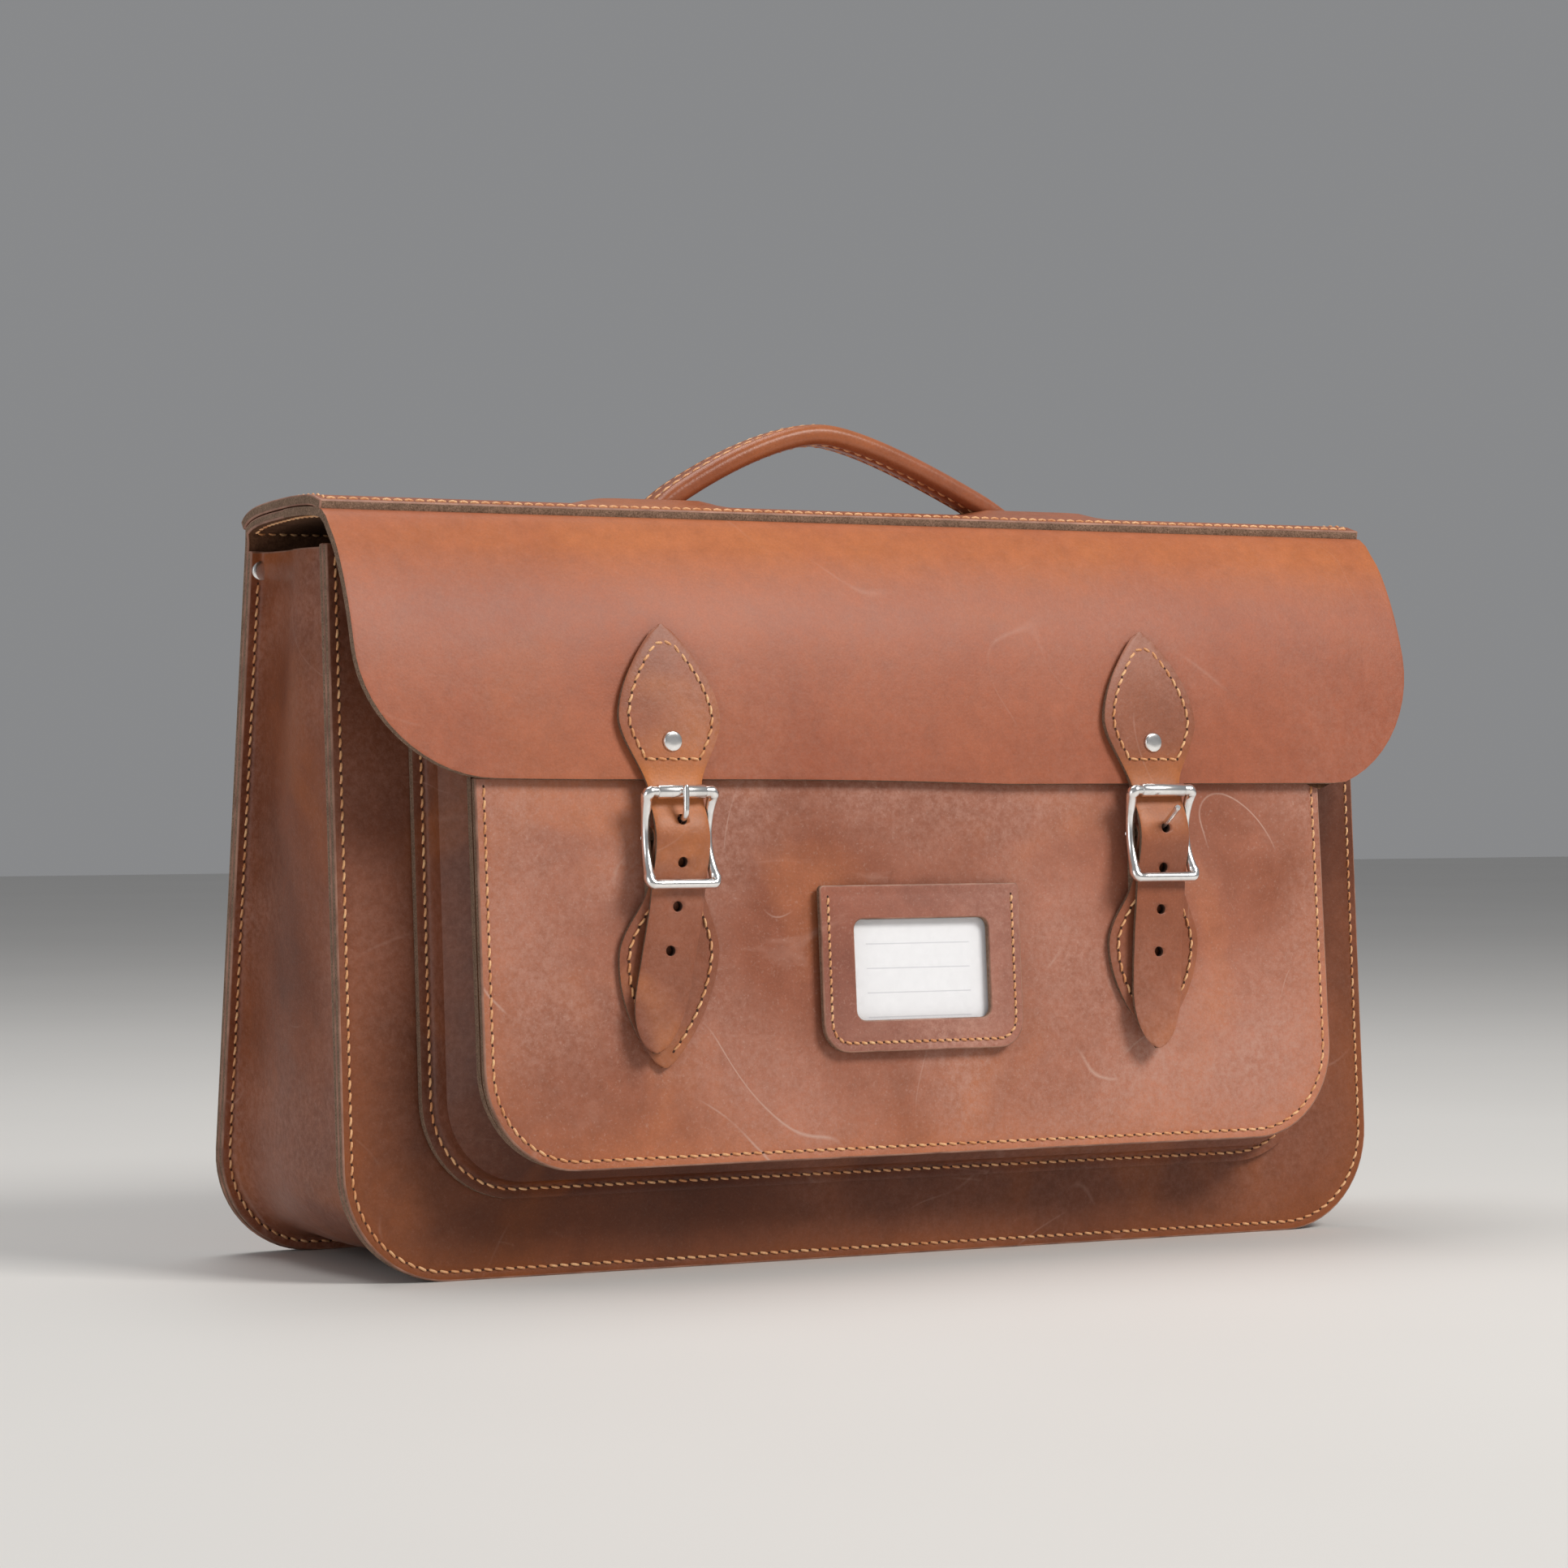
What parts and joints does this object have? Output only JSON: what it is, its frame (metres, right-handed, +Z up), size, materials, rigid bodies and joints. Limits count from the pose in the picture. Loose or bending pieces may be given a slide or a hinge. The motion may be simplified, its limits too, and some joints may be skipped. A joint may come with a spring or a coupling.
{
  "type": "satchel bag",
  "caption": "Leather satchel with a fold-over flap on two roller buckles, an outside pocket with a name-card holder, and a handle on a top strip.",
  "frame": {"origin": "centre of the base, on the surface the bag stands on", "axes": "+Z up, +X to the right seen from the front, the front with the flap and buckles faces -Y"},
  "size_m": [0.428, 0.1585, 0.3002],
  "materials": {
    "leather_body": "oiled pull-up leather, satin, fine grain with scuffs",
    "leather_light": "oiled pull-up leather, lighter where it bends, satin",
    "leather_dark": "oiled leather, darker and less worn",
    "plated_metal": "nickel plate with light wear",
    "clear_window": "clear flexible sheet",
    "card": "uncoated white card",
    "thread": "waxed orange-tan linen thread"
  },
  "bodies": {
    "bag": {"back_panel": "leather_body", "front_panel": "leather_body", "main_gusset": "leather_dark", "pocket_front_panel": "leather_body", "pocket_gusset": "leather_dark", "chape_left": "leather_body", "chape_right": "leather_body", "card_holder": "leather_body", "card_window": "clear_window", "seam_rivet_back_left": "plated_metal", "seam_rivet_back_right": "plated_metal", "seam_rivet_front_left": "plated_metal", "seam_rivet_front_right": "plated_metal"},
    "lid_top": {"flap_top": "leather_light", "top_strip": "leather_body", "handle_end_left": "leather_body", "handle_end_right": "leather_body"},
    "flap": {"flap_front": "leather_light", "flap_strap_left": "leather_light", "flap_strap_right": "leather_light", "strap_rivet_left": "plated_metal", "strap_rivet_right": "plated_metal"},
    "handle": {"handle_cover": "leather_body", "handle_core": "leather_dark"},
    "card": {"name_card": "card"},
    "buckle_left": {"buckle_frame_left": "plated_metal"},
    "roller_left": {"buckle_roller_left": "plated_metal"},
    "prong_left": {"buckle_prong_left": "plated_metal"},
    "buckle_right": {"buckle_frame_right": "plated_metal"},
    "roller_right": {"buckle_roller_right": "plated_metal"},
    "prong_right": {"buckle_prong_right": "plated_metal"}
  },
  "joints": [
    {"name": "top_fold", "type": "hinge", "parent": "bag", "child": "lid_top", "pos_m": [0, 0.04553, 0.2535], "axis": [-1, 0, 0], "range_deg": [0, 110]},
    {"name": "flap_fold", "type": "hinge", "parent": "lid_top", "child": "flap", "pos_m": [0, -0.0345, 0.2595], "axis": [-1, 0, 0], "range_deg": [0, 120], "deforming": ["flap_strap_left", "flap_strap_right"]},
    {"name": "handle_tilt", "type": "hinge", "parent": "lid_top", "child": "handle", "pos_m": [0, 0.0005, 0.268], "axis": [1, 0, 0], "range_deg": [-25, 25], "deforming": ["handle_end_left", "handle_end_right"]},
    {"name": "card_slide", "type": "slide", "parent": "bag", "child": "card", "axis": [0, 0.0768, 0.997], "range_m": [0, 0.035]},
    {"name": "buckle_tilt_left", "type": "hinge", "parent": "bag", "child": "buckle_left", "pos_m": [-0.1005, -0.06919, 0.1495], "axis": [1, 0, 0], "range_deg": [-10, 10]},
    {"name": "roller_spin_left", "type": "hinge", "parent": "buckle_left", "child": "roller_left", "pos_m": [-0.1005, -0.07419, 0.1651], "axis": [1, 0, 0], "continuous": true},
    {"name": "prong_swing_left", "type": "hinge", "parent": "buckle_left", "child": "prong_left", "pos_m": [-0.1005, -0.06919, 0.1495], "axis": [1, 0, 0], "range_deg": [0, 40]},
    {"name": "buckle_tilt_right", "type": "hinge", "parent": "bag", "child": "buckle_right", "pos_m": [0.0952, -0.06919, 0.1495], "axis": [1, 0, 0], "range_deg": [-10, 10]},
    {"name": "roller_spin_right", "type": "hinge", "parent": "buckle_right", "child": "roller_right", "pos_m": [0.0952, -0.07419, 0.1651], "axis": [1, 0, 0], "continuous": true},
    {"name": "prong_swing_right", "type": "hinge", "parent": "buckle_right", "child": "prong_right", "pos_m": [0.0952, -0.06919, 0.1495], "axis": [1, 0, 0], "range_deg": [0, 40]}
  ]
}
